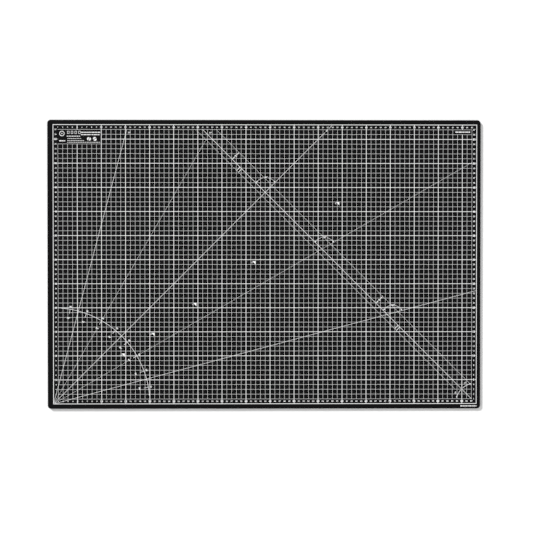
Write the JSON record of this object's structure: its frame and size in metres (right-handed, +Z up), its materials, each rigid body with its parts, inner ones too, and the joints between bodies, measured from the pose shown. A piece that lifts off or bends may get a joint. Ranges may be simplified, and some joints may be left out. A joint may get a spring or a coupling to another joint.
{
  "type": "self healing cutting mat",
  "caption": "Flat rectangular black PVC cutting mat with rounded corners and a white measuring grid, angle lines and a protractor arc printed on top.",
  "frame": {"origin": "middle of the underside, on the surface that the mat lies on", "axes": "+X along the long side, to the user's right; +Y away from the user; +Z up, out of the printed face"},
  "size_m": [0.9, 0.6, 0.0031],
  "materials": {
    "healing_pvc": "soft matte PVC with a fine grain",
    "stiffener_pvc": "plain satin PVC",
    "core_pvc": "plain satin PVC",
    "white_ink": "matte screen-printed ink"
  },
  "bodies": {
    "root": {"bottom_healing_ply": "healing_pvc", "lower_stiffener_ply": "stiffener_pvc", "core_ply": "core_pvc", "upper_stiffener_ply": "stiffener_pvc", "top_healing_ply": "healing_pvc", "printed_grid": "white_ink"}
  },
  "joints": []
}
